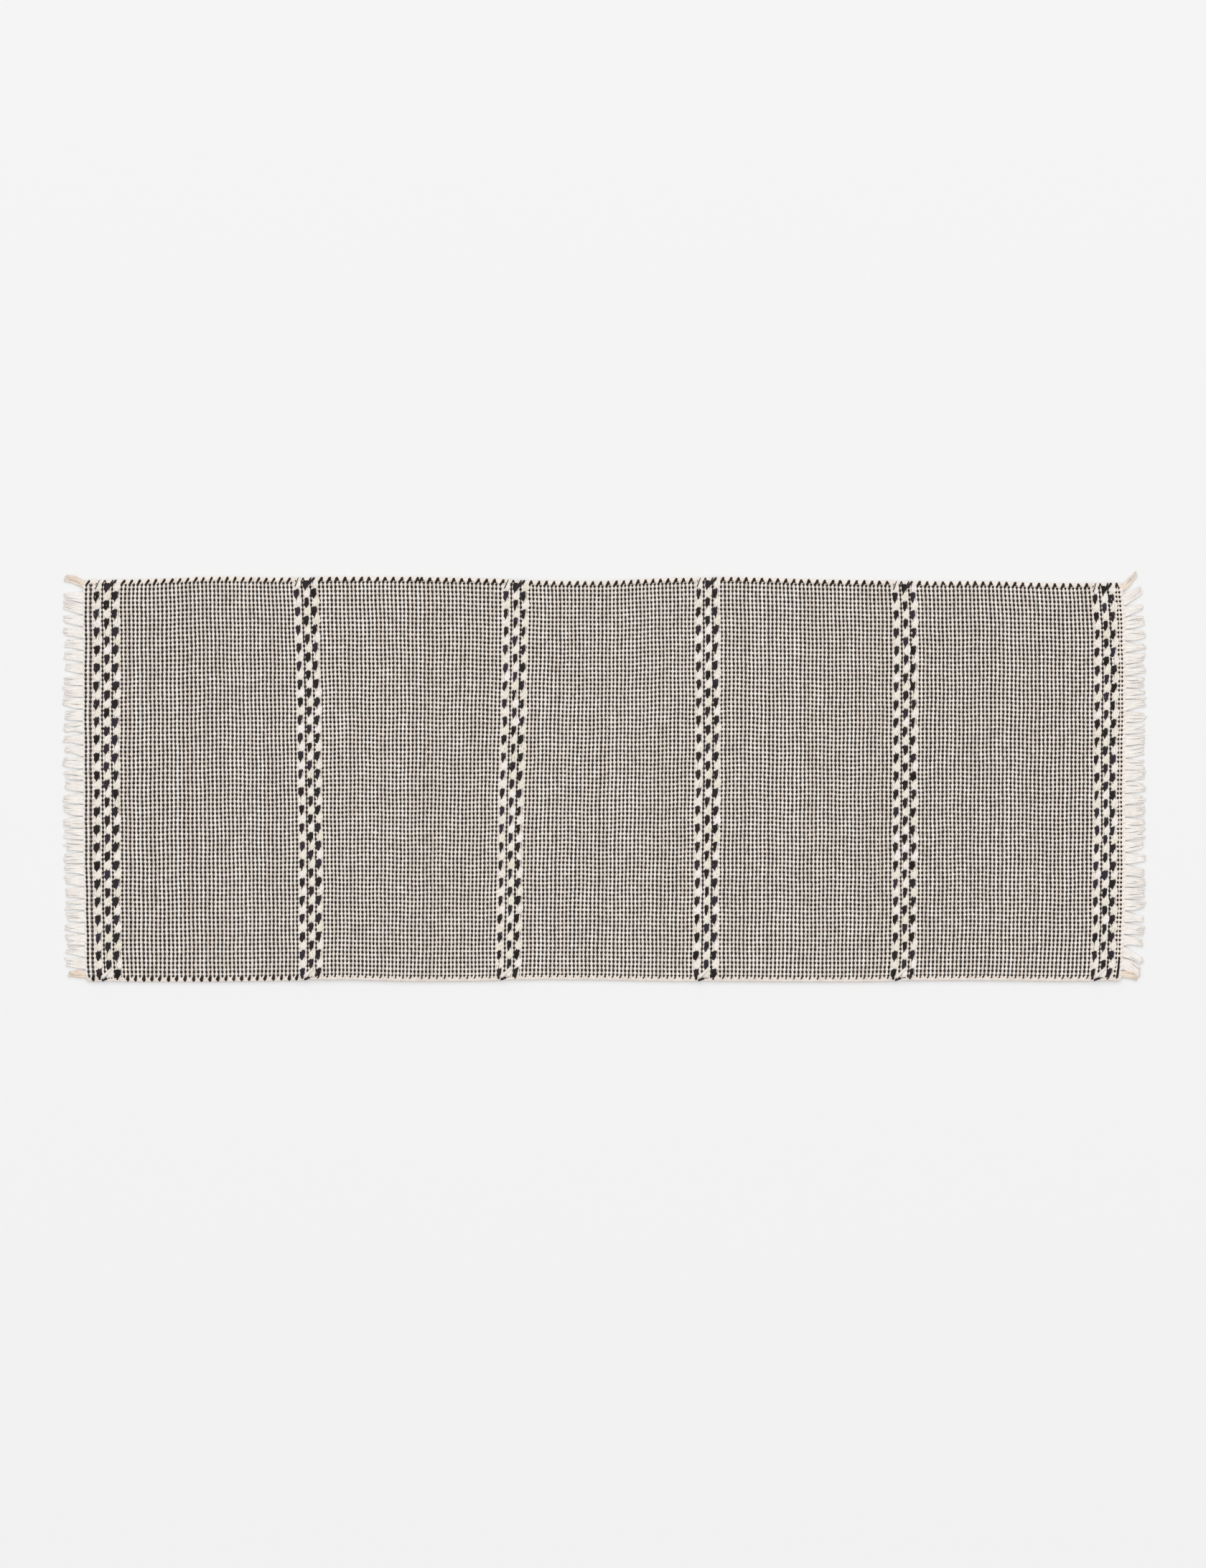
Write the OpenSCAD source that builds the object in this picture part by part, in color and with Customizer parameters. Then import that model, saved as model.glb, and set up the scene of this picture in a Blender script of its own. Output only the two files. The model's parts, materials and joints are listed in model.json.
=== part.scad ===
// Runner rug: a thick weft-faced weave with six bands of heavy yarn and loose warp tassels.
// It lies flat on the floor and folds in three for storage, along two lines in its plain cloth.
// X runs along the rug, Y across it, Z up. The origin is the middle of the underside.

/* [Rug] */
// Overall length, tassels included
rug_l = 2438; // [2400:1:2500]
// Overall width
rug_w = 914; // [600:1:1200]
// Length of the tassels at each end
fringe_l = 49; // [47:1:60]
// Thickness of the cloth under the top yarns
cloth_t = 6; // [5:0.5:8]

/* [Weave] */
// Pairs of picks, one black and one cream, in each plain field but the second
field_picks = 44; // [30:1:46]
// Pairs of picks in the second field, which is beaten a little closer
second_field_picks = 46; // [30:1:46]
// Pairs of picks outside the first and last bands
border_picks = 2; // [1:1:2]
// Diameter of a black or cream weft
weft_d = 3.2; // [2:0.1:3.8]
// How far the wefts stand above the cloth
weft_rise = 1; // [0.5:0.1:1.5]
// Width of the plain cream heading at each end
heading_w = 3; // [2:0.5:6]
// Diameter of the cord along each long edge
selvedge_d = 7; // [5:0.5:8]

/* [Bands] */
// Diameter of the heavy yarns
roving_d = 7.2; // [5:0.1:8]
// Length of the heavy yarn seen between two warps
float_l = 20; // [14:0.5:30]
// Spacing of the three heavy columns, as a share of the band's width
column_share = 0.37; // [0.3:0.01:0.37]
// Height of the heavy yarns above the cloth
roving_rise = 3.4; // [2:0.1:4]

/* [Tassels] */
// Tassels at each end
tassel_count = 34; // [16:1:36]
// Warp ends in each tassel
tassel_ends = 5; // [4:1:6]
// Diameter of one warp end
warp_d = 3.6; // [2:0.1:4]
// How far a tassel draws together at its tip, from 0, not at all, to 1
tassel_draw = 0.15; // [0:0.01:0.2]

/* [Folds] */
// Pairs of picks of the second field that lie outside the left fold
left_fold_pick = 25; // [18:1:26]
// Pairs of picks of the fourth field that lie inside the right fold
right_fold_pick = 18; // [18:1:26]
// Gap in the stiff cloth at a fold line
fold_gap = 0.8; // [0.4:0.1:2]

/* [Hidden] */
$fn = 32;
clearance = 0.1;

// Middle and width of each band: hand weaving never spaces them quite evenly
BAND_AT = [-1116, -659, -204, 235, 678, 1128];
BAND_W = [59, 53, 55, 55, 55, 51];
FIELD_PICKS = [field_picks, second_field_picks, field_picks, field_picks, field_picks];

woven_end = rug_l / 2 - fringe_l;
cloth_end = woven_end - heading_w;
cloth_w = rug_w - 2 * selvedge_d;

function band_lo(k) = BAND_AT[k] - BAND_W[k] / 2;
function band_hi(k) = BAND_AT[k] + BAND_W[k] / 2;

// Place of a fold line: the edge of a whole pick in a field between two bands
function pick_edge(k, n) = band_hi(k) + n * (band_lo(k + 1) - band_hi(k)) / FIELD_PICKS[k];
left_fold_x = pick_edge(1, left_fold_pick);
right_fold_x = pick_edge(3, right_fold_pick);

// Each stretch of plain weave: where it starts, where it ends, and its pairs of picks
BORDER_LEFT = [-cloth_end, band_lo(0), border_picks];
FIELD_1 = [band_hi(0), band_lo(1), FIELD_PICKS[0]];
FIELD_2_OUTER = [band_hi(1), left_fold_x, left_fold_pick];
FIELD_2_INNER = [left_fold_x, band_lo(2), FIELD_PICKS[1] - left_fold_pick];
FIELD_3 = [band_hi(2), band_lo(3), FIELD_PICKS[2]];
FIELD_4_INNER = [band_hi(3), right_fold_x, right_fold_pick];
FIELD_4_OUTER = [right_fold_x, band_lo(4), FIELD_PICKS[3] - right_fold_pick];
FIELD_5 = [band_hi(4), band_lo(5), FIELD_PICKS[4]];
BORDER_RIGHT = [band_hi(5), cloth_end, border_picks];

// Black and cream picks share each step of the weave
BLACK = 0.25;
CREAM = 0.75;
function picks(stretch, side) = [
    for (i = [0 : stretch[2] - 1])
        stretch[0] + (i + side) * (stretch[1] - stretch[0]) / stretch[2]
];

// A band has three heavy columns, with one thin column halfway between two of them
function band_step(k) = BAND_W[k] * column_share;
function heavy_picks(k) = [for (c = [-1, 0, 1]) BAND_AT[k] + c * band_step(k)];
function thin_picks(k) = [for (c = [-0.5, 0.5]) BAND_AT[k] + c * band_step(k)];

weft_z = cloth_t + weft_rise - weft_d / 2;
roving_z = cloth_t + roving_rise - roving_d / 2;
float_count = floor(cloth_w / float_l);
float_pitch = cloth_w / float_count;

tassel_w = rug_w / tassel_count;
warp_pitch = tassel_w / tassel_ends;
corner_tassels = [0, tassel_count - 1];
middle_tassels = [for (t = [1 : tassel_count - 2]) t];

// A round-ended rod along Y, centred on the origin
module rod(len, d) {
    rotate([-90, 0, 0])
        rotate_extrude()
            intersection() {
                union() {
                    translate([0, d / 2 - len / 2]) square([d / 2, len - d]);
                    for (end = [-1, 1]) translate([0, end * (len - d) / 2]) circle(d = d);
                }
                translate([0, -len / 2]) square([d / 2, len]);
            }
}

module groove(x, z, d) {
    translate([x, 0, z]) rotate([90, 0, 0]) cylinder(h = rug_w, d = d + 2 * clearance, center = true);
}

module slab(x0, x1) {
    translate([x0, -cloth_w / 2 + clearance, 0]) cube([x1 - x0, cloth_w - 2 * clearance, cloth_t]);
}

// Plain cloth: the warps and the buried part of the wefts, grooved on top for the picks
module plain_cloth(stretch, gap_lo = 0, gap_hi = 0) {
    color("linen")
        difference() {
            slab(stretch[0] + gap_lo, stretch[1] - gap_hi);
            for (side = [BLACK, CREAM], x = picks(stretch, side)) groove(x, weft_z, weft_d);
        }
}

module band_cloth(k) {
    color("antiquewhite")
        difference() {
            slab(band_lo(k), band_hi(k));
            for (x = heavy_picks(k)) groove(x, roving_z, roving_d);
            for (x = thin_picks(k)) groove(x, weft_z, weft_d);
        }
}

// Heavy yarn shows as short floats. Charcoal and ivory take turns along a column,
// and each column is half a turn out of step with the next.
module heavy_yarn(k, turn) {
    columns = heavy_picks(k);
    for (c = [0 : len(columns) - 1], j = [0 : float_count - 1])
        if ((c + j) % 2 == turn)
            translate([columns[c], -cloth_w / 2 + (j + 0.5) * float_pitch, roving_z])
                rod(float_pitch - 4 * clearance, roving_d);
}

module charcoal_yarn(k) { color("dimgray") heavy_yarn(k, 0); }

module ivory_yarn(k) { color("ivory") heavy_yarn(k, 1); }

module weft(xs) {
    for (x = xs) translate([x, 0, weft_z]) rod(cloth_w - 2 * clearance, weft_d);
}

module black_weft(stretches, bands) {
    color([0.18, 0.16, 0.15]) {
        for (s = stretches) weft(picks(s, BLACK));
        for (k = bands) weft(thin_picks(k));
    }
}

module cream_weft(stretches) {
    color("oldlace") for (s = stretches) weft(picks(s, CREAM));
}

// The plain strip that locks the last pick, with the warps running through it
module heading(side) {
    x = side < 0 ? -woven_end : cloth_end;
    color("oldlace") translate([x, -rug_w / 2 + clearance, 0]) cube([heading_w, rug_w - 2 * clearance, cloth_t - 1]);
}

// A rounded cord of turned wefts along one long edge
module selvedge(side, x0, x1) {
    color("oldlace")
        translate([(x0 + x1) / 2, side * (rug_w - selvedge_d) / 2, selvedge_d / 2])
            rotate([0, 0, 90]) rod(x1 - x0, selvedge_d);
}

// Warp ends hang free past the heading, and each group draws together towards its tip
module tassel(t, side) {
    middle = -rug_w / 2 + (t + 0.5) * tassel_w;
    for (i = [0 : tassel_ends - 1]) {
        off = (i - (tassel_ends - 1) / 2) * warp_pitch;
        lean = atan(-off * tassel_draw / fringe_l);
        // Ends are cut by hand, so their lengths step a little, and the middle end is the full length
        len = fringe_l - clearance - abs(off) * 0.12;
        translate([side * (woven_end + clearance), middle + off, warp_d / 2 + 2 * clearance])
            rotate([0, 0, side > 0 ? -90 + lean : 90 - lean])
                translate([0, len / 2, 0]) rod(len, warp_d);
    }
}

module fringe(side) { color("seashell") for (t = middle_tassels) tassel(t, side); }

module corner_tassel_pair(side) { color("tan") for (t = corner_tassels) tassel(t, side); }

LEFT_X = [-cloth_end, left_fold_x - fold_gap / 2];
MIDDLE_X = [left_fold_x + fold_gap / 2, right_fold_x - fold_gap / 2];
RIGHT_X = [right_fold_x + fold_gap / 2, cloth_end];

// Left end, outside the left fold
fringe(-1);  // fringe_left
corner_tassel_pair(-1);  // corner_tassels_left
heading(-1);  // heading_left
plain_cloth(BORDER_LEFT);  // border_left_cloth
band_cloth(0);  // band_1_cloth
charcoal_yarn(0);  // band_1_charcoal_yarn
ivory_yarn(0);  // band_1_ivory_yarn
plain_cloth(FIELD_1);  // field_1_cloth
band_cloth(1);  // band_2_cloth
charcoal_yarn(1);  // band_2_charcoal_yarn
ivory_yarn(1);  // band_2_ivory_yarn
plain_cloth(FIELD_2_OUTER, 0, fold_gap / 2);  // field_2_outer_cloth
black_weft([BORDER_LEFT, FIELD_1, FIELD_2_OUTER], [0, 1]);  // black_weft_left
cream_weft([BORDER_LEFT, FIELD_1, FIELD_2_OUTER]);  // cream_weft_left
selvedge(1, LEFT_X[0], LEFT_X[1]);  // selvedge_back_left
selvedge(-1, LEFT_X[0], LEFT_X[1]);  // selvedge_front_left

// Middle, between the folds
plain_cloth(FIELD_2_INNER, fold_gap / 2, 0);  // field_2_inner_cloth
band_cloth(2);  // band_3_cloth
charcoal_yarn(2);  // band_3_charcoal_yarn
ivory_yarn(2);  // band_3_ivory_yarn
plain_cloth(FIELD_3);  // field_3_cloth
band_cloth(3);  // band_4_cloth
charcoal_yarn(3);  // band_4_charcoal_yarn
ivory_yarn(3);  // band_4_ivory_yarn
plain_cloth(FIELD_4_INNER, 0, fold_gap / 2);  // field_4_inner_cloth
black_weft([FIELD_2_INNER, FIELD_3, FIELD_4_INNER], [2, 3]);  // black_weft_middle
cream_weft([FIELD_2_INNER, FIELD_3, FIELD_4_INNER]);  // cream_weft_middle
selvedge(1, MIDDLE_X[0], MIDDLE_X[1]);  // selvedge_back_middle
selvedge(-1, MIDDLE_X[0], MIDDLE_X[1]);  // selvedge_front_middle

// Right end, outside the right fold
plain_cloth(FIELD_4_OUTER, fold_gap / 2, 0);  // field_4_outer_cloth
band_cloth(4);  // band_5_cloth
charcoal_yarn(4);  // band_5_charcoal_yarn
ivory_yarn(4);  // band_5_ivory_yarn
plain_cloth(FIELD_5);  // field_5_cloth
band_cloth(5);  // band_6_cloth
charcoal_yarn(5);  // band_6_charcoal_yarn
ivory_yarn(5);  // band_6_ivory_yarn
plain_cloth(BORDER_RIGHT);  // border_right_cloth
heading(1);  // heading_right
black_weft([FIELD_4_OUTER, FIELD_5, BORDER_RIGHT], [4, 5]);  // black_weft_right
cream_weft([FIELD_4_OUTER, FIELD_5, BORDER_RIGHT]);  // cream_weft_right
selvedge(1, RIGHT_X[0], RIGHT_X[1]);  // selvedge_back_right
selvedge(-1, RIGHT_X[0], RIGHT_X[1]);  // selvedge_front_right
fringe(1);  // fringe_right
corner_tassel_pair(1);  // corner_tassels_right
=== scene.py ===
"""A hand-woven runner rug, built yarn by yarn: warps, black and cream wefts, heavy rovings in six bands,
turned selvedges and loose tassels. Everything is in metres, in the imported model's frame."""

import json
import math

import bpy
import numpy as np
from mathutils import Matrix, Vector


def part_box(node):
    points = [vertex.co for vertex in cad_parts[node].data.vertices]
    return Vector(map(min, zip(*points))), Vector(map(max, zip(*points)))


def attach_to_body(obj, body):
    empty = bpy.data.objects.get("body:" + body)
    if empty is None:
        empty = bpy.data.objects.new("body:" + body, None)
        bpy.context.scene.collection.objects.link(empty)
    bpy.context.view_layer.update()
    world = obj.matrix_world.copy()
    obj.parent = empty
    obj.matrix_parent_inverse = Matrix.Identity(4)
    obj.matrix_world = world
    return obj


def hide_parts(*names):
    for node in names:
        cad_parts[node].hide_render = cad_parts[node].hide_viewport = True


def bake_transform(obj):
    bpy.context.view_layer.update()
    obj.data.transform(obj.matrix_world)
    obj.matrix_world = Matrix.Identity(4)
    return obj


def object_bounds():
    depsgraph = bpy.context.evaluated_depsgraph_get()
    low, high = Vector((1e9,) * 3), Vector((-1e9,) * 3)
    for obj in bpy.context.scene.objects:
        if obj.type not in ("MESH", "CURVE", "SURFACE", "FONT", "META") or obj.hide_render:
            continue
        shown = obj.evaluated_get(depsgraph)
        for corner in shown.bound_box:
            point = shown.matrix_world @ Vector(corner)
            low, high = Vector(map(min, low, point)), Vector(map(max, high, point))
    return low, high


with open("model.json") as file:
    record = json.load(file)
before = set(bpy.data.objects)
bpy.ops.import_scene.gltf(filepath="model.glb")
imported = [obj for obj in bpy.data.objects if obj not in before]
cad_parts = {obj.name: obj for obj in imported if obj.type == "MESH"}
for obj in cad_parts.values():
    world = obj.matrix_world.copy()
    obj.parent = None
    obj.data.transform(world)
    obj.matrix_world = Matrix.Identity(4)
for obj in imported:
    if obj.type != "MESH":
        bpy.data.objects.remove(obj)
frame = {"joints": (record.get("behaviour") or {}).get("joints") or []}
CAD_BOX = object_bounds()

MM = 0.001

# ---------------------------------------------------------------- sizes from the frame

FOLD = {j["name"]: j["pos_m"][0] for j in frame["joints"]}
FOLD_LEFT, FOLD_RIGHT = FOLD["fold_left"], FOLD["fold_right"]
HALF_L = CAD_BOX[1][0]
HALF_W = CAD_BOX[1][1]
WOVEN_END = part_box("heading_right")[1][0]
CLOTH_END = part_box("heading_right")[0][0]
CLOTH_HALF_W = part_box("field_3_cloth")[1][1]
FIELD_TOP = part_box("black_weft_middle")[1][2]
BAND_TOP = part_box("band_1_charcoal_yarn")[1][2]

# Each stretch of plain weave: its name in the frame, its body and its pairs of picks
STRETCHES = [
    ("border_left", "left_end", 2),
    ("field_1", "left_end", 44),
    ("field_2_outer", "left_end", 25),
    ("field_2_inner", "middle", 21),
    ("field_3", "middle", 44),
    ("field_4_inner", "middle", 18),
    ("field_4_outer", "right_end", 26),
    ("field_5", "right_end", 44),
    ("border_right", "right_end", 2),
]
BAND_BODY = ["left_end", "left_end", "middle", "middle", "right_end", "right_end"]
END_OF = {"left_end": "left", "middle": "middle", "right_end": "right"}

# ---------------------------------------------------------------- the weave

ROWS = 88  # rows of black floats across the rug: one for every two warps
ROW_PITCH = 2 * CLOTH_HALF_W / ROWS
FIELD_MID = FIELD_TOP / 2  # the warps lie halfway up the cloth
BAND_LIFT = (BAND_TOP - FIELD_TOP) / 2 - 0.1 * MM  # the thick bands raise their own middle

# A weft's rings over one turn of two warps: phase in degrees from the middle of its float on top, half width
# in millimetres, and height as a share of its swing. A float is wide and a crossing is narrow.
BLACK_RINGS = [
    (0, 2.85, 1), (48, 2.2, 0.8), (84, 0.8, -0.1), (180, 0.6, -0.7), (276, 0.8, -0.1), (312, 2.2, 0.8),
]
CREAM_RINGS = [
    (0, 4.05, 1), (66, 3.6, 0.7), (114, 2.4, -0.2), (180, 1.9, -1), (246, 2.4, -0.2), (294, 3.6, 0.7),
]
BLACK_HIGH, BLACK_SWING = 2.0 * MM, 1.45 * MM  # half the height of the yarn, and how far it rises and falls
CREAM_HIGH, CREAM_SWING = 2.4 * MM, 0.65 * MM

HEAVY_ROWS = 4  # rows in one turn of the heavy yarns: two of charcoal, two of ivory
HEAVY_STEP = 0.37  # spacing of the heavy columns, as a share of the band's width
HEAVY_RINGS = 16
STRANDS = ((-1.0, 0.3), (-0.35, -1.1), (0.35, 0.8), (1.0, -1.7))  # place across the yarn, millimetres late
HEAVY_SPREAD = 3.45 * MM  # half the width over which the strands of a float spread
CHARCOAL_BROAD = [1.0, 0.85, 0.68, 0.8, 0.8, 0.78]  # how far the charcoal floats spread in each band

# How each heavy yarn goes through one turn, from the top of a charcoal float: height, spread of its strands
# and sideways drift in millimetres. A charcoal float narrows to its end; an ivory one starts narrow.
HEAVY = {
    "charcoal": {
        "height": ([0, 0.03, 0.08, 0.42, 0.48, 0.53, 0.59, 0.9, 0.95, 1],
                   [0.5, 0.85, 1, 1, 0.85, 0, -1, -1, -0.5, 0.5]),
        "spread": ([0, 0.07, 0.16, 0.3, 0.4, 0.46, 0.52, 0.58, 0.9, 1],
                   [1.2, 1.4, 1.1, 1.3, 0.9, 0.45, 0.1, 0.1, 0.5, 1.2]),
        "drift": ([0, 0.28, 0.4, 0.5, 0.7, 1], [-1.2, -1.2, -1.8, -2.6, -2.4, -1.2]),
    },
    "ivory": {
        "height": ([0, 0.04, 0.4, 0.47, 0.52, 0.57, 0.92, 0.97, 1],
                   [-0.4, -1, -1, -0.4, 0.5, 1, 1, 0.4, -0.4]),
        "spread": ([0, 0.05, 0.4, 0.46, 0.52, 0.6, 0.8, 0.92, 0.97, 1],
                   [0.3, 0.2, 0.1, 0.15, 0.6, 1.25, 1.35, 1.15, 0.8, 0.3]),
        "drift": ([0, 0.3, 0.42, 0.6, 0.8, 0.92, 1], [0.2, 1.6, 2.4, 2.0, 1.6, 1.1, 0.2]),
    },
}

WARP_RADIUS = 0.45 * MM
CORD_OUT, CORD_RADIUS = (1.0 * MM, 3.8 * MM), (1.9 * MM, 2.0 * MM)  # the selvedge cords: place and half sizes
EDGE_RINGS = 13  # in a yarn that turns round a long edge

# How the cloth lies. Handwork draws the long edges in a little, more in some places than in others:
# millimetres at even stations from the left end to the right.
BACK_DRAW = [10, 9, 2, 5, 3, 3, 6, 12, 13, 6, 3, 8, 11, 13, 13, 18, 16]
FRONT_DRAW = [3, 2, 2, 4, 7, 3, 3, 7, 6, 3, 3, 2, 2, 5, 5, 3, 4]
# Picks do not run quite straight across: millimetres to the right of true at the back edge, halfway to the
# middle, at the middle and on to the front edge, for the left end, the six bands and the right end
SWAY = [
    [0, 3.5, 3.5, 6, 7],
    [1.4, 2.6, 2.4, 3.8, 6],
    [-10, -1.8, 2, 4.6, 5.4],
    [8, 6.6, 0, -5, -8.4],
    [-1.4, 0.4, 0, -2.4, -3.8],
    [-3.6, 1.5, 0, 0, -5.2],
    [-6, 1, -0.8, -2.6, -9],
    [-2, 2, 1, 0.5, -5.5],
]
# Nor are they quite evenly beaten: millimetres to the right of true in the middle of each field
BULGE = [5.5, 0, 2, 1, -1]
CORNER_DRAW = 7 * MM  # how far each corner is drawn in along the rug
BAND_SLOPE = 22 * MM  # the cloth comes down from a band over this length


def smooth_curve(stations, values, reach=0.06):
    """A smooth function through values given at stations."""
    x = np.linspace(-1.3, 1.3, 1301)
    y = np.interp(x, stations, values)
    step = x[1] - x[0]
    window = np.hanning(2 * int(reach / step) + 1)
    pad = len(window) // 2
    y = np.convolve(np.pad(y, pad, mode="edge"), window / window.sum(), mode="valid")
    return lambda at: np.interp(at, x, y)


BANDS = [(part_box(f"band_{k}_cloth")[0][0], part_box(f"band_{k}_cloth")[1][0]) for k in range(1, 7)]
BAND_MID = [(a + b) / 2 for a, b in BANDS]

even = np.linspace(-WOVEN_END, WOVEN_END, len(BACK_DRAW))
back_draw = smooth_curve(even, np.array(BACK_DRAW) * MM)
front_draw = smooth_curve(even, np.array(FRONT_DRAW) * MM)
sway_at = [smooth_curve([-WOVEN_END, *BAND_MID, WOVEN_END], np.array(column) * MM, reach=0.09)
           for column in zip(*SWAY)]
bulge = smooth_curve(
    sorted(BAND_MID + [(a + b) / 2 for a, b in zip(BAND_MID, BAND_MID[1:])]),
    np.array([0, *(v for b in BULGE for v in (b, 0))]) * MM, reach=0.06)
lift_x = np.array([p for a, b in BANDS for p in (a - BAND_SLOPE, a, b, b + BAND_SLOPE)])
band_lift = smooth_curve(lift_x, np.array([0, BAND_LIFT, BAND_LIFT, 0] * len(BANDS)), reach=0.008)


def sway(x, t):
    """How far to the right the cloth lies at x, where t goes from 1 at the back edge to -1 at the front."""
    marks = (1, 0.5, 0, -0.5, -1)
    total = 0
    for mark, curve in zip(marks, sway_at):
        part = curve(x)
        for other in marks:
            if other != mark:
                part = part * (t - other) / (mark - other)
        total = total + part
    return total


def settle(p):
    """Points of a perfectly square weave, moved to where the real cloth lies."""
    x, y, z = p[..., 0], p[..., 1], p[..., 2]
    t = np.clip(y / HALF_W, -1.01, 1.01)
    out = np.empty_like(p)
    corner = CORNER_DRAW * t**16 * (x / HALF_L) ** 9
    wander = 0.5 * MM * np.sin(31 * x + 17 * y) + 0.35 * MM * np.sin(57 * y - 23 * x + 1.3)
    out[..., 0] = x + sway(x, t) + bulge(x) - corner + wander
    back, front = HALF_W - back_draw(x), -HALF_W + front_draw(x)
    ruffle = 0.7 * MM * np.sin(43 * x + 9 * y) + 0.4 * MM * np.sin(112 * x - 31 * y)
    out[..., 1] = (back + front) / 2 + y / HALF_W * (back - front) / 2 + ruffle * (1 - t**4)
    wave = 2 + np.sin(7.1 * x + 3.3 * y + 0.4) + np.sin(4.3 * x - 8.9 * y)
    out[..., 2] = z + band_lift(x) + 0.35 * MM * wave
    return out


# ---------------------------------------------------------------- tubes of yarn


def sweep(centres, wide, high, sides=6, upright=True):
    """Oval tubes along the paths in centres, shape (yarns, rings, 3). wide and high are half sizes.
    Upright rings stand square to Y; the others turn with their path."""
    path = np.asarray(centres, float)
    wide = np.broadcast_to(wide, path.shape[:2])
    high = np.broadcast_to(high, path.shape[:2])
    if upright:
        side = np.broadcast_to([1.0, 0, 0], path.shape)
        up = np.broadcast_to([0, 0, 1.0], path.shape)
    else:
        along = np.gradient(path, axis=1)
        along /= np.linalg.norm(along, axis=2, keepdims=True) + 1e-12
        side = np.cross(along, [0, 0, 1.0])
        side /= np.linalg.norm(side, axis=2, keepdims=True) + 1e-12
        up = np.cross(side, along)
    turn = 2 * math.pi * np.arange(sides) / sides
    ring = (
        path[:, :, None]
        + side[:, :, None] * (wide[..., None, None] * np.cos(turn)[:, None])
        + up[:, :, None] * (high[..., None, None] * np.sin(turn)[:, None])
    )
    step = np.linalg.norm(np.diff(path, axis=1), axis=2)
    length = np.concatenate([np.zeros((len(path), 1)), np.cumsum(step, axis=1)], axis=1)
    return {"ring": ring, "length": length, "tone": np.zeros(len(path))}


def toned(tube, rng, spread=1.0):
    """Gives each yarn of a tube set its own shade."""
    tube["tone"] = rng.normal(0, spread, len(tube["tone"]))
    return tube


def build(name, tubes):
    """One mesh object from tube sets, with a UV map along each yarn and a shade for each yarn."""
    verts, quads, uvs, tones = [], [], [], []
    base = 0
    for tube in tubes:
        ring = tube["ring"]
        n, m, s, _ = ring.shape
        first = base + (np.arange(n) * m * s)[:, None, None]
        at = first + (np.arange(m - 1) * s)[None, :, None]
        a, b = np.arange(s)[None, None], ((np.arange(s) + 1) % s)[None, None]
        quads.append(np.stack([at + a, at + s + a, at + s + b, at + b], -1).reshape(-1, 4))
        u0 = np.broadcast_to(np.arange(s) / s, (n, m - 1, s))
        v0 = np.broadcast_to(tube["length"][:, :-1, None], (n, m - 1, s)) * 100
        v1 = np.broadcast_to(tube["length"][:, 1:, None], (n, m - 1, s)) * 100
        around = np.stack([u0, u0, u0 + 1 / s, u0 + 1 / s], -1)
        uvs.append(np.stack([around, np.stack([v0, v1, v1, v0], -1)], -1).reshape(-1, 4, 2))
        for k in range(0, s - 2, 2):
            corners = np.array([0, k + 1, k + 2, k + 3])
            start = base + (np.arange(n) * m * s)[:, None] + corners
            end = base + ((np.arange(n) + 1) * m * s - s)[:, None] + corners[::-1]
            quads += [start, end]
            uvs += [np.full((n, 4, 2), 0.5)] * 2
        verts.append(ring.reshape(-1, 3))
        tone = tube["tone"] if tube["tone"].ndim == 2 else np.repeat(tube["tone"][:, None], m, axis=1)
        tones.append(np.repeat(tone.ravel(), s))
        base += n * m * s
    verts = settle(np.concatenate(verts))
    quads, uvs = np.concatenate(quads), np.concatenate(uvs)
    me = bpy.data.meshes.new(name)
    me.vertices.add(len(verts))
    me.vertices.foreach_set("co", verts.astype(np.float32).ravel())
    me.loops.add(quads.size)
    me.loops.foreach_set("vertex_index", quads.astype(np.int32).ravel())
    me.polygons.add(len(quads))
    me.polygons.foreach_set("loop_start", np.arange(0, quads.size, 4, dtype=np.int32))
    me.polygons.foreach_set("use_smooth", np.ones(len(quads), bool))
    me.uv_layers.new(name="Yarn").data.foreach_set("uv", uvs.astype(np.float32).ravel())
    tone = me.attributes.new("tone", "FLOAT", "POINT")
    tone.data.foreach_set("value", np.concatenate(tones).astype(np.float32))
    me.update(calc_edges=True)
    ob = bpy.data.objects.new(name, me)
    bpy.context.scene.collection.objects.link(ob)
    return ob


# ---------------------------------------------------------------- materials


def linear(hex_colour):
    """A hex sRGB colour as linear RGBA."""
    parts = [int(hex_colour[i : i + 2], 16) / 255 for i in (1, 3, 5)]
    return [c / 12.92 if c <= 0.04045 else ((c + 0.055) / 1.055) ** 2.4 for c in parts] + [1.0]


class Tree:
    """A material's node tree, with short calls to add and join nodes."""

    def __init__(self, name):
        self.material = bpy.data.materials.new(name)
        self.material.use_nodes = True
        self.nodes, self.links = self.material.node_tree.nodes, self.material.node_tree.links
        self.shader = self.nodes["Principled BSDF"]

    def add(self, kind, **settings):
        node = self.nodes.new(kind)
        for key, value in settings.items():
            setattr(node, key, value)
        return node

    def join(self, source, target):
        self.links.new(source, target)

    def math(self, operation, *terms):
        node = self.add("ShaderNodeMath", operation=operation)
        for i, term in enumerate(terms):
            if hasattr(term, "is_output"):
                self.join(term, node.inputs[i])
            else:
                node.inputs[i].default_value = term
        return node.outputs[0]

    def noise(self, vector, scale, detail=3.0, rough=0.5):
        node = self.add("ShaderNodeTexNoise")
        self.join(vector, node.inputs["Vector"])
        node.inputs["Scale"].default_value = scale
        node.inputs["Detail"].default_value = detail
        node.inputs["Roughness"].default_value = rough
        return node.outputs["Fac"]

    def ramp(self, factor, stops):
        node = self.add("ShaderNodeValToRGB")
        self.join(factor, node.inputs["Fac"])
        marks = node.color_ramp.elements
        for i, (place, colour) in enumerate(stops):
            mark = marks[i] if i < 2 else marks.new(place)
            mark.position, mark.color = place, colour
        return node.outputs["Color"]


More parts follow.
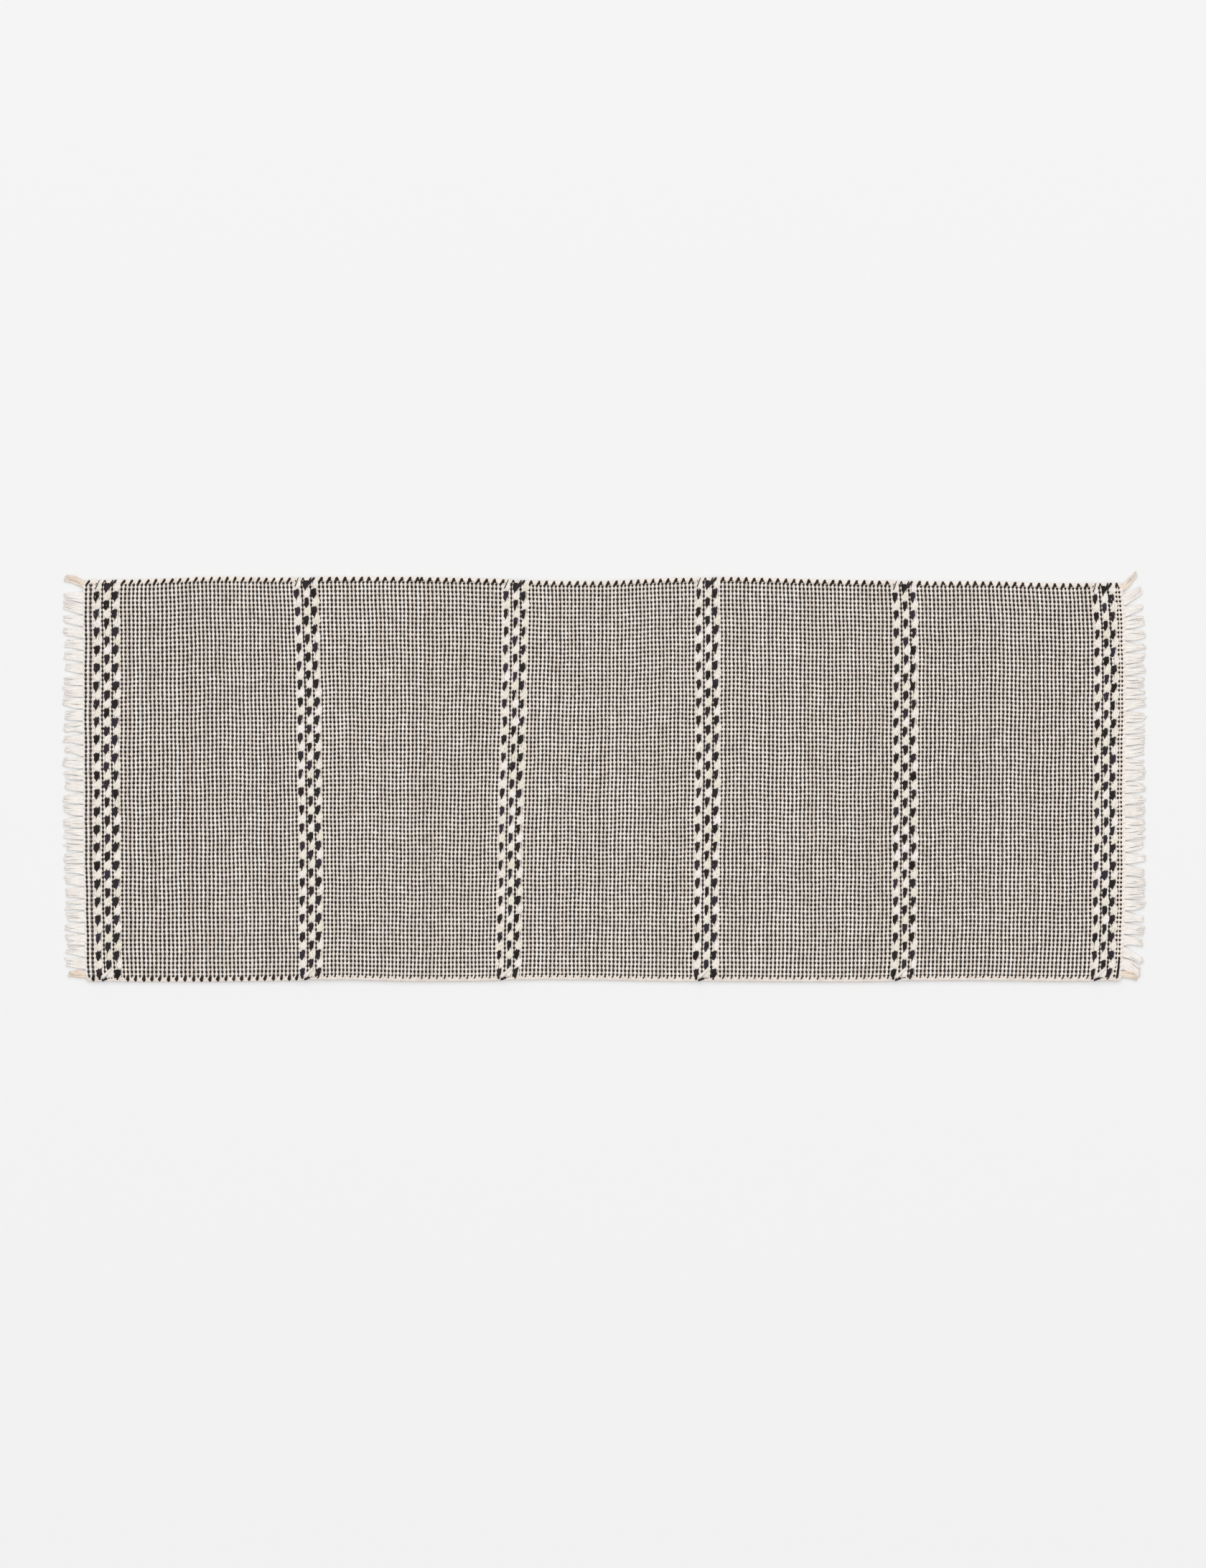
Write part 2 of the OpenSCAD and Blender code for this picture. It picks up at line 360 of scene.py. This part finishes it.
def yarn_material(name, dark, middle, light, plies=2, twist=1.4, ply_depth=0.5, fuzz=0.35, sheen=0.3,
                  patch=40.0):
    """Spun yarn: twisted plies, loose fibres that lie along them, and a colour that varies from yarn to
    yarn and along each one, with painted shade in the grooves between the plies."""
    t = Tree(name)
    uv = t.add("ShaderNodeUVMap", uv_map="Yarn").outputs["UV"]
    split = t.add("ShaderNodeSeparateXYZ")
    t.join(uv, split.inputs[0])
    place = t.add("ShaderNodeTexCoord").outputs["Object"]

    # Plies wind round the yarn: a ridge for each, and a groove between two
    turns = t.math("ADD", t.math("MULTIPLY", split.outputs[0], plies),
                   t.math("MULTIPLY", split.outputs[1], twist))
    wobble = t.math("MULTIPLY", t.noise(place, 260.0, 2.0), 0.35)
    ridge = t.math("ABSOLUTE", t.math("SINE", t.math("MULTIPLY", t.math("ADD", turns, wobble), math.pi)))

    # Fibres follow the plies, so their noise is stretched along the yarn
    lay = t.add("ShaderNodeCombineXYZ")
    t.join(t.math("MULTIPLY", turns, 5.0), lay.inputs[0])
    t.join(t.math("MULTIPLY", split.outputs[1], 2.2), lay.inputs[1])
    t.join(t.math("MULTIPLY", split.outputs[0], 2.0), lay.inputs[2])
    fibres = t.noise(lay.outputs[0], 3.0, 4.0, 0.65)
    specks = t.noise(place, 1500.0, 3.0, 0.7)

    tone = t.add("ShaderNodeAttribute", attribute_name="tone").outputs["Fac"]
    patches = t.noise(place, patch, 3.0, 0.6)
    shade = t.math("ADD", patches, t.math("MULTIPLY", tone, 0.09))
    shade = t.math("ADD", shade, t.math("MULTIPLY", t.math("SUBTRACT", fibres, 0.5), 0.5))
    # Painted shade: the grooves between the plies are coloured darker and the ridges lighter, as light and
    # shade would fall on them
    shade = t.math("ADD", shade, t.math("MULTIPLY", t.math("SUBTRACT", ridge, 0.6), 0.22))
    colour = t.ramp(shade, [(0.12, linear(dark)), (0.9, linear(light)), (0.5, linear(middle))])
    t.join(colour, t.shader.inputs["Base Color"])

    height = t.math("ADD", t.math("MULTIPLY", ridge, ply_depth), t.math("MULTIPLY", fibres, fuzz))
    height = t.math("ADD", height, t.math("MULTIPLY", specks, 0.5 * fuzz))
    bump = t.add("ShaderNodeBump")
    bump.inputs["Strength"].default_value = 0.9
    bump.inputs["Distance"].default_value = 0.6 * MM
    t.join(height, bump.inputs["Height"])
    t.join(bump.outputs["Normal"], t.shader.inputs["Normal"])

    rough = t.add("ShaderNodeMapRange")
    rough.inputs["To Min"].default_value, rough.inputs["To Max"].default_value = 0.82, 0.97
    t.join(fibres, rough.inputs["Value"])
    t.join(rough.outputs["Result"], t.shader.inputs["Roughness"])
    t.shader.inputs["Sheen Weight"].default_value = sheen
    t.shader.inputs["Sheen Roughness"].default_value = 0.5
    t.shader.inputs["Specular IOR Level"].default_value = 0.25
    return t.material


BLACK = yarn_material("black_yarn", "#130d08", "#251c15", "#3b3028", fuzz=0.5, sheen=0.08)
CREAM = yarn_material("cream_yarn", "#dfd3c8", "#f0e5db", "#fcf7f1", sheen=0.15)
CHARCOAL = yarn_material("charcoal_roving", "#16110e", "#282220", "#352e3c", 3, 0.7, 0.7, 0.6, 0.1, 30.0)
IVORY = yarn_material("ivory_roving", "#ebe5d3", "#f2ece3", "#f8f1ee", 3, 0.7, 0.7, 0.6, 0.15, 30.0)
WARP = yarn_material("warp_cotton", "#e8dfd8", "#f4eee8", "#fcf9f5", 2, 2.2, 0.5, 0.4, 0.15, 60.0)
TAN = yarn_material("tan_cotton", "#d9c0a6", "#eadac8", "#f6eee4", 2, 2.2, 0.5, 0.4, 0.15, 60.0)

# ---------------------------------------------------------------- wefts


def picks(x0, x1, count, share):
    return x0 + (np.arange(count) + share) * (x1 - x0) / count


def weft(xs, rings, high, swing, late, rng, narrow, lift):
    """Wefts across the rug at xs, each over every second warp. late is the share of a turn by which their
    floats come after the middle of a row."""
    xs = np.asarray(xs, float)
    degrees, wide, level = (np.array(column) for column in zip(*rings))
    turn = np.arange(-1, ROWS + 1)[:, None]
    y = ((turn + degrees / 360 + 0.5 + late) * ROW_PITCH - CLOTH_HALF_W).ravel()
    wide = np.tile(wide * MM * narrow, ROWS + 2)
    level = np.tile(level, ROWS + 2)
    keep = np.abs(y) <= CLOTH_HALF_W + 0.5 * MM
    y, wide, level = y[keep], wide[keep], level[keep]
    beads = np.arange(2 * ROWS + 1) * ROW_PITCH / 2 - CLOTH_HALF_W

    def each_bead(mean, spread):
        return np.stack([np.interp(y, beads, rng.normal(mean, spread, len(beads))) for _ in xs])

    centres = np.empty((len(xs), len(y), 3))
    centres[..., 0] = xs[:, None] + each_bead(0, 0.22 * MM) + rng.normal(0, 0.2 * MM, (len(xs), 1))
    centres[..., 1] = y + each_bead(0, 0.22 * MM)
    centres[..., 2] = FIELD_MID + lift + swing * level
    tube = toned(sweep(centres, wide * each_bead(1.0, 0.09), high), rng)
    tube["tone"] = tube["tone"][:, None] + each_bead(0, 0.8)
    return tube


def black_weft(xs, rng, narrow=1.0, lift=0.0):
    return weft(xs, BLACK_RINGS, BLACK_HIGH, BLACK_SWING, 0.0, rng, narrow, lift)


def cream_weft(xs, rng, narrow=1.0, lift=0.0):
    return weft(xs, CREAM_RINGS, CREAM_HIGH, CREAM_SWING, 0.5, rng, narrow, lift)


# ---------------------------------------------------------------- heavy yarns


def heavy(kind, x0, first, rng, broad=1.0):
    """One heavy yarn along a column: strands that lie side by side over a float of two rows, then draw
    together and dive under the next two. first is the row where the first charcoal float starts."""
    turns = ROWS // HEAVY_ROWS
    turn = HEAVY_ROWS * ROW_PITCH
    along = np.linspace(0, 2 * CLOTH_HALF_W, turns * HEAVY_RINGS + 1)
    floats = np.arange(2 * turns + 3) * turn / 2 - turn / 4
    way = HEAVY[kind]

    def each_float(mean, spread):
        return np.interp(along, floats, rng.normal(mean, spread, len(floats)))

    size, sway, tone = each_float(broad, 0.1), each_float(0, 0.6 * MM), each_float(0, 2.2)
    lumps = np.arange(8 * turns + 1) * turn / 8
    tubes = []
    for place, late in STRANDS:
        behind = late * MM + each_float(0, 0.9 * MM)
        u = np.mod((along - behind) / turn - first / HEAVY_ROWS, 1)
        height, spread, drift = (np.interp(u, *way[k]) for k in ("height", "spread", "drift"))
        c = np.empty((1, len(along), 3))
        lumpy = np.interp(along, lumps, rng.normal(0, 0.55 * MM, len(lumps)))
        c[0, :, 0] = x0 + sway + drift * MM + place * HEAVY_SPREAD * spread * size + lumpy
        c[0, :, 1] = CLOTH_HALF_W - along
        c[0, :, 2] = FIELD_MID + 2.0 * MM * height + 0.5 * MM * (1 - abs(place)) * (height > 0)
        wide = (1.25 + 0.75 * spread * size) * MM
        tube = toned(sweep(c, wide[None], 1.75 * MM), rng, 0.6)
        tube["tone"] = tube["tone"][:, None] + tone
        tubes.append(tube)
    return tubes


def edge_turn(side, xa, xb, wide, start, out, rise=2.2 * MM, high=None, lift=0.0, slant=False):
    """A yarn that turns round a long edge, from xa on top, out to the edge and back underneath to xb. A slanted
    one does all its leaning on top and goes straight back underneath. It goes from start to out across the rug,
    and lies as far as rise above and below the middle of the cloth, but stays clear of the floor."""
    swing = np.linspace(0, math.pi, EDGE_RINGS)
    outward = np.sin(swing) ** 0.85
    across = np.where(swing < math.pi / 2, outward, 1) if slant else 0.5 - 0.5 * np.cos(swing)
    c = np.empty((1, EDGE_RINGS, 3))
    c[0, :, 0] = xa + (xb - xa) * across
    c[0, :, 1] = side * (start + (out - start) * outward)
    high = high or 0.7 * wide
    fall = min(rise, FIELD_MID - high - 0.1 * MM)
    c[0, :, 2] = FIELD_MID + np.where(swing < math.pi / 2, rise, fall) * np.cos(swing) + lift * np.sin(swing)
    taper = wide * (0.75 + 0.25 * np.sin(swing))
    return sweep(c, taper[None], high, upright=False)


# ---------------------------------------------------------------- attaching pieces


def bend_left(ob):
    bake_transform(ob)


def bend_right(ob):
    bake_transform(ob)


def attach(ob, material, slot, where, *nodes):
    """where is a body's name, or "fold_left" or "fold_right" for a piece that reaches a fold line."""
    ob.data.materials.append(material)
    if where == "fold_left":
        bend_left(ob)
    elif where == "fold_right":
        bend_right(ob)
    else:
        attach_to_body(ob, where)
    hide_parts(*nodes)


# ---------------------------------------------------------------- plain weave


def stretch_range(name):
    """A stretch's ends, which reach the fold line itself where the stiff cloth stops just short of it."""
    lo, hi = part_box(f"{name}_cloth")
    x0, x1 = lo[0], hi[0]
    for fold in (FOLD_LEFT, FOLD_RIGHT):
        x0 = fold if abs(x0 - fold) < 2 * MM else x0
        x1 = fold if abs(x1 - fold) < 2 * MM else x1
    return x0, x1


rng = np.random.default_rng(11)
plain = {}  # where the black and the cream picks of each stretch lie
for name, body, count in STRETCHES:
    x0, x1 = stretch_range(name)
    where = {"field_2_outer": "fold_left", "field_2_inner": "fold_left",
             "field_4_inner": "fold_right", "field_4_outer": "fold_right"}.get(name, body)
    black_x, cream_x = picks(x0, x1, count, 0.25), picks(x0, x1, count, 0.75)
    if count > 30:
        parts = [("a", slice(0, count // 2)), ("b", slice(count // 2, count))]
    else:
        parts = [("", slice(0, count))]
    for mark, part in parts:
        end = END_OF[body]
        black = build(f"{name}{mark}_black_weft", [black_weft(black_x[part], rng)])
        attach(black, BLACK, "black_weft", where, f"black_weft_{end}")
        cream = build(f"{name}{mark}_cream_weft", [cream_weft(cream_x[part], rng)])
        attach(cream, CREAM, "cream_weft", where, f"cream_weft_{end}")
    plain[name] = (black_x, cream_x)

# ---------------------------------------------------------------- bands

EDGE = HALF_W  # the long edge itself


def band_edges(columns, thin):
    """The loops where a band's yarns turn round the long edges: charcoal, ivory and black ones. turn takes
    millimetres: xa, xb, half width, start in from the cloth's edge, end short of the rug's edge, and rise."""
    a, b, c = columns

    def turn(side, xa, xb, wide, inside, short, rise):
        reach = (CLOTH_HALF_W - inside * MM, EDGE - short * MM)
        return edge_turn(side, xa * MM, xb * MM, wide * MM, *reach, rise * MM, slant=True)

    a, b, c, t, u = (v / MM for v in (a, b, c, *thin))
    charcoal = [
        turn(1, b - 3, b + 19, 3.0, 17, 2.5, 3.8),
        turn(1, b - 1, b + 12, 1.7, 14, 1.5, 3.4),
        turn(1, b - 3, b - 5, 1.5, 6, 2, 3.0),
        turn(1, a - 5, a + 4, 1.4, 14, 1.5, 4.2),
        turn(-1, a - 2, a - 3, 3.4, 2, 5.5, 2.8),
        turn(-1, a + 15, a + 3, 3.1, 0, 3.2, 2.6),
        turn(-1, c - 4, c - 7, 2.0, 0, 5, 2.6),
    ]
    ivory = [
        turn(-1, b + 3, a + 5, 3.9, 21, 9, 4.2),
        turn(-1, b, a + 2, 3.4, 17, 10, 4.5),
        turn(1, a + 1, a + 6, 3.0, 6, 3, 2.4),
        turn(1, c + 1, c + 6, 3.0, 6, 3, 2.4),
    ]
    black = [
        turn(1, t, t + 4, 1.5, 5, 2, 2.7),
        turn(1, u, u + 8, 1.9, 6, 2, 2.7),
        turn(-1, t, t - 2, 1.4, 3, 9, 2.3),
        turn(-1, u, u - 2, 1.5, 3, 8, 2.3),
    ]
    return charcoal, ivory, black


for k, (x0, x1) in enumerate(BANDS):
    mid, step = BAND_MID[k], HEAVY_STEP * (x1 - x0)
    body, end = BAND_BODY[k], END_OF[BAND_BODY[k]]
    columns = [mid - step, mid, mid + step]
    charcoal_x = [mid - step - 1 * MM, mid, mid + step - 2.5 * MM]
    thin = [mid - step / 2, mid + step / 2]
    charcoal, ivory, black = band_edges(columns, thin)
    for c, x in enumerate(columns):
        first = 0 if c == 1 else 2
        charcoal += heavy("charcoal", charcoal_x[c], first, rng, CHARCOAL_BROAD[k])
        ivory += heavy("ivory", x, first, rng)
    beside = [x0 + 1.2 * MM, x1 - 1.2 * MM] + [t + s * 4.0 * MM for t in thin for s in (-1, 1)]
    attach(build(f"band_{k + 1}_charcoal", charcoal), CHARCOAL, "charcoal_roving", body,
           f"band_{k + 1}_charcoal_yarn")
    attach(build(f"band_{k + 1}_ivory", ivory), IVORY, "ivory_roving", body, f"band_{k + 1}_ivory_yarn")
    attach(build(f"band_{k + 1}_black_weft", [black_weft(thin, rng, 0.9)] + black), BLACK, "black_weft", body,
           f"black_weft_{end}")
    under = [cream_weft(beside, rng, 0.85), cream_weft(columns, rng, 0.95, -1.0 * MM)]
    attach(build(f"band_{k + 1}_cream_weft", under), CREAM, "cream_weft", body, f"band_{k + 1}_cloth")

# ---------------------------------------------------------------- warps and selvedges

QUARTERS = [
    ("left", "left_end", "fold_left", -WOVEN_END, FOLD_LEFT,
     ["border_left", "field_1", "field_2_outer"], ["heading_left"]),
    ("middle_left", "middle", "fold_left", FOLD_LEFT, 0.0, ["field_2_inner", "field_3"], []),
    ("middle_right", "middle", "fold_right", 0.0, FOLD_RIGHT, ["field_3", "field_4_inner"], []),
    ("right", "right_end", "fold_right", FOLD_RIGHT, WOVEN_END,
     ["field_4_outer", "field_5", "border_right"], ["heading_right"]),
]


def crossings(names, x0, x1):
    """Where the warps cross the wefts between x0 and x1: the place of each and +1 at a black one, -1 at a
    cream one. Between stretches of plain weave, in the bands, a warp runs level."""
    at, kind = [x0, x1], [0, 0]
    for n in names:
        for xs, sign in zip(plain[n], (1, -1)):
            inside = xs[(xs > x0 + 1 * MM) & (xs < x1 - 1 * MM)]
            at += list(inside)
            kind += [sign] * len(inside)
    order = np.argsort(at)
    return np.array(at)[order], np.array(kind)[order]


def warp_threads(xs, kind, ys, over, rng):
    """Warps at ys. Those that go under the black wefts come up over the cream ones, and the others do not."""
    c = np.empty((len(ys), len(xs), 3))
    c[..., 0], c[..., 1] = xs, ys[:, None]
    if over:
        height = np.where(kind == 1, 0.5, np.where(kind == -1, -1.9, 0.0))
    else:
        height = np.where(kind == 1, -0.7, np.where(kind == -1, 1.75, 0.0))
    c[..., 2] = FIELD_MID + height * MM
    return toned(sweep(c, WARP_RADIUS, WARP_RADIUS, sides=4, upright=False), rng)


row_y = (np.arange(ROWS) + 0.5) * ROW_PITCH - CLOTH_HALF_W
gap_y = np.arange(1, ROWS) * ROW_PITCH - CLOTH_HALF_W

for label, body, where, x0, x1, names, headings in QUARTERS:
    xs, kind = crossings(names, x0, x1)
    for half, pick in (("back", lambda y: y > 0), ("front", lambda y: y <= 0)):
        warps = [warp_threads(xs, kind, row_y[pick(row_y)], False, rng),
                 warp_threads(xs, kind, gap_y[pick(gap_y)], True, rng)]
        attach(build(f"warps_{label}_{half}", warps), WARP, "warp_cotton", where,
               *[f"{n}_cloth" for n in names], *headings)

    end = END_OF[body]
    for side, edge in ((1, "back"), (-1, "front")):
        # Two outer cords carry the turns of the weft
        cords = []
        for beyond, z in zip(CORD_OUT, (0.3 * MM, -0.2 * MM)):
            c = np.empty((1, len(xs), 3))
            c[..., 0], c[..., 1] = xs, side * (CLOTH_HALF_W + beyond)
            c[..., 2] = FIELD_MID + z
            cords.append(sweep(c, *CORD_RADIUS, upright=False))
        black_turns, cream_turns = [], []
        for n in names:
            lo, hi = stretch_range(n)
            black_x, _ = plain[n]
            pitch = (hi - lo) / len(black_x)
            # The half width of its black turns, and how far short of the edge they stop, in millimetres
            if side > 0:
                bold, short = 3.1, 2.4
            elif n in ("field_1", "border_left"):
                bold, short = 4.1, 3.5
            else:
                bold, short = 1.7, 7.0
            for i, x in enumerate(black_x):
                if not x0 < x < x1:
                    continue
                for share in (0.3, 0.8):
                    start = x + share * pitch
                    lean = side * pitch * rng.uniform(0.7, 0.95)
                    cream_turns.append(edge_turn(side, start - lean / 2, start + lean / 2, 2.1 * MM,
                                                 CLOTH_HALF_W - 4.5 * MM, EDGE - rng.uniform(1.6, 2.3) * MM,
                                                 1.2 * MM, 1.3 * MM))
                if i % 2 == (0 if side > 0 else 1):
                    thick = bold * rng.uniform(0.85, 1.1) * MM
                    lean = pitch * rng.uniform(0.5, 0.85) if side > 0 else -pitch * rng.uniform(0.1, 0.35)
                    out = EDGE - (short + rng.uniform(-0.4, 0.6)) * MM
                    black_turns.append(edge_turn(side, x, x + lean, thick, CLOTH_HALF_W - 5 * MM, out,
                                                 2.9 * MM, 1.9 * MM, 1.0 * MM, slant=True))
                    if side > 0 and x > BAND_MID[1]:
                        # Past the second band each of these yarns loops back into the cloth beside itself
                        black_turns.append(edge_turn(side, x + 0.85 * pitch, x + 0.55 * pitch, 2.4 * MM,
                                                     CLOTH_HALF_W - 2 * MM, EDGE - 2.6 * MM, 2.4 * MM, 1.6 * MM,
                                                     1.0 * MM, slant=True))
        attach(build(f"selvedge_{edge}_{label}", cords + cream_turns), CREAM, "selvedge_cotton", where,
               f"selvedge_{edge}_{end}")
        attach(build(f"selvedge_{edge}_black_turns_{label}", black_turns), BLACK, "black_weft", where,
               f"black_weft_{end}")

# ---------------------------------------------------------------- headings and tassels

TASSELS = 34
LOCKS, LOCK_ENDS = 3, 4  # locks in a tassel, and warp ends in a lock
FRINGE = HALF_L - WOVEN_END


def tassel(side, middle, width, rng, radius, drift, gather, reach=0.94, arc=0.0):
    """One tassel: loose warp ends in locks that leave the heading side by side, then wander and part. gather is
    how wide the tips spread, as a share of the width at the heading."""
    s = np.linspace(0, 1, 13)
    c = np.empty((LOCKS * LOCK_ENDS, len(s), 3))
    reach = min(reach, math.sqrt(1.15 - (drift / FRINGE) ** 2)) * FRINGE
    for lock in range(LOCKS):
        place = (lock + 0.5) / LOCKS - 0.5
        bend, curl = rng.normal(0, 2.2 * MM), rng.normal(0, 1.3 * MM)
        length = reach * rng.uniform(0.88, 1.04)
        for i in range(LOCK_ENDS):
            off = (i + 0.5) / LOCK_ENDS - 0.5
            end = length * rng.uniform(0.93, 1.02)
            stray = rng.normal(0, 1.0 * MM) * (4 if rng.random() < 0.06 else 1)
            across = width * (place + off * 0.95 / LOCKS) * (1 + (gather - 1) * s**0.8)
            sideways = drift * s**1.3 + arc * np.sin(s * math.pi * 0.6) + bend * np.sin(s * 2.6) * s
            sideways = sideways + curl * np.sin(s * 4.5) * s + stray * s**1.5
            row = c[lock * LOCK_ENDS + i]
            row[:, 0] = side * (WOVEN_END - 3 * MM + s * (end + 3 * MM))
            row[:, 1] = middle + across + sideways
            low = (1.4 + rng.uniform(0, 0.7)) * MM
            row[:, 2] = FIELD_MID * (1 - s**0.5) + low * s**0.5 + 0.2 * MM * np.sin(s * 7 + i)
    taper = radius * (1 - 0.5 * s**4)
    return toned(sweep(c, taper, 0.8 * taper, upright=False), rng, 0.8)


def lean(side, y):
    """How far the tip of a tassel at y lies from straight out: near the corners they splay."""
    back, front = np.exp((y - HALF_W) / 0.065), np.exp((-y - HALF_W) / 0.065)
    return (45 * back - 40 * front) * MM if side > 0 else (18 * back + 8 * front) * MM


# The corner tassels: end of the rug, long edge, distance in from it, sideways drift, reach and arc
CORNERS = [
    (-1, 1, 12, 8, 0.98, 10),
    (-1, -1, 16, 1, 0.9, 0),
    (1, 1, 13, 32, 0.8, -2),
    (1, -1, 17, -9, 0.9, 1),
]

for side, end, body in ((-1, "left", "left_end"), (1, "right", "right_end")):
    width = 2 * HALF_W / TASSELS
    loose = []
    for t in range(1, TASSELS - 1):
        y = -HALF_W + (t + 0.5) * width
        drift = lean(side, y) + rng.normal(0, 3 * MM)
        loose.append(tassel(side, y, 0.96 * width, rng, 1.5 * MM, drift, rng.uniform(0.5, 0.95)))
    attach(build(f"tassels_{end}", loose), WARP, "warp_cotton", body, f"fringe_{end}")
    corners = [
        tassel(side, edge * (HALF_W - inset * MM), 12 * MM, rng, 1.2 * MM, drift * MM, 1.6, reach, arc * MM)
        for to, edge, inset, drift, reach, arc in CORNERS if to == side
    ]
    attach(build(f"corner_tassels_{end}_yarn", corners), TAN, "tan_cotton", body, f"corner_tassels_{end}")
    edge = [side * (CLOTH_END + d * MM) for d in (0.6, 2.4)]
    heading = build(f"heading_{end}_yarn", [cream_weft(edge, rng, 0.5)])
    attach(heading, WARP, "warp_cotton", body, f"heading_{end}")

# At the front right corner the last black pick is drawn together into one dark cord
CORD_LENGTH, CORD_RINGS = 46 * MM, 31
along = np.linspace(0, CORD_LENGTH, CORD_RINGS)
cord_path = np.stack([plain["border_right"][0][-1] + rng.normal(0, 0.35 * MM, CORD_RINGS), along - CLOTH_HALF_W,
                      np.full(CORD_RINGS, FIELD_MID + 2.1 * MM)], -1)
cord_wide = (3.2 - 0.6 * along / CORD_LENGTH + rng.normal(0, 0.25, CORD_RINGS)) * MM
corner_cord = build("corner_cord", [sweep(cord_path[None], cord_wide[None], 1.9 * MM)])
attach(corner_cord, BLACK, "black_weft", "right_end", "black_weft_right")

# ---------------------------------------------------------------- floor, light and camera


def plain_floor():
    me = bpy.data.meshes.new("floor")
    half = 30.0
    me.from_pydata([(-half, -half, 0), (half, -half, 0), (half, half, 0), (-half, half, 0)], [], [(0, 1, 2, 3)])
    ob = bpy.data.objects.new("floor", me)
    ob.location.z = -0.2 * MM
    bpy.context.scene.collection.objects.link(ob)
    t = Tree("floor_paper")
    t.shader.inputs["Base Color"].default_value = (0.86, 0.86, 0.86, 1)
    t.shader.inputs["Roughness"].default_value = 0.95
    t.shader.inputs["Specular IOR Level"].default_value = 0.1
    ob.data.materials.append(t.material)


def soft_light():
    # A pale room, brightest overhead and a little toward the rug's back edge, and one far softbox there
    world = bpy.data.worlds.new("studio")
    world.use_nodes = True
    nodes, links = world.node_tree.nodes, world.node_tree.links
    place, split = nodes.new("ShaderNodeTexCoord"), nodes.new("ShaderNodeSeparateXYZ")
    links.new(place.outputs["Generated"], split.inputs[0])
    lift, floor_part, bias = (nodes.new("ShaderNodeMath") for _ in range(3))
    lift.operation, floor_part.operation, bias.operation = "POWER", "MULTIPLY_ADD", "MULTIPLY_ADD"
    lift.inputs[1].default_value = 2.0
    floor_part.inputs[1].default_value, floor_part.inputs[2].default_value = 1.12, 0.385
    bias.inputs[1].default_value = 0.2
    links.new(split.outputs["Z"], lift.inputs[0])
    links.new(lift.outputs[0], floor_part.inputs[0])
    links.new(split.outputs["Y"], bias.inputs[0])
    links.new(floor_part.outputs[0], bias.inputs[2])
    nodes["Background"].inputs["Color"].default_value = (1, 1, 1, 1)
    links.new(bias.outputs[0], nodes["Background"].inputs["Strength"])
    bpy.context.scene.world = world
    lamp = bpy.data.lights.new("softbox", "AREA")
    lamp.shape, lamp.size, lamp.size_y = "RECTANGLE", 24.0, 9.0
    lamp.energy = 1000
    ob = bpy.data.objects.new("softbox", lamp)
    behind, above = 18.0, 12.6
    ob.location = (0.0, behind, above)
    ob.rotation_euler = (-math.atan2(behind, above), 0, 0)
    bpy.context.scene.collection.objects.link(ob)


def add_camera():
    # The view is straight down, with the rug's back edge at the top of the picture
    cam = bpy.data.cameras.new("camera")
    cam.lens, cam.sensor_width = 85, 36
    seen_height = 3.52
    ob = bpy.data.objects.new("camera", cam)
    ob.location = (-0.0008, -0.011, seen_height * cam.lens / cam.sensor_width)
    bpy.context.scene.collection.objects.link(ob)
    bpy.context.scene.camera = ob


plain_floor()
soft_light()
add_camera()
bpy.context.scene.view_settings.view_transform = "Standard"
